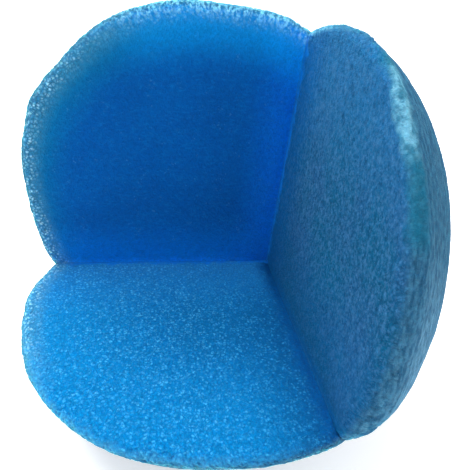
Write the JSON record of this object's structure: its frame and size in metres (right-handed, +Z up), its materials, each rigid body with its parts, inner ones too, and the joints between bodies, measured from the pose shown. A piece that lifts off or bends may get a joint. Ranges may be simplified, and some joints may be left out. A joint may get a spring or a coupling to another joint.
{
  "type": "sponge filter",
  "caption": "Blue open-cell foam filter sponge: a ball-shaped block with a square inside corner cut out of it.",
  "frame": {"origin": "middle of the round flat that the block stands on, straight under the ball's centre", "axes": "+Z up; the inside corner opens towards -X, -Y and +Z, with its side face across X, its back face across Y and its floor face level"},
  "size_m": [0.0954, 0.0954, 0.0912],
  "materials": {
    "foam": "matt open-cell polyurethane foam, sky blue, fine pores, lighter and slightly translucent at its thin rims"
  },
  "bodies": {
    "root": {"foam_body": "foam"}
  },
  "joints": []
}
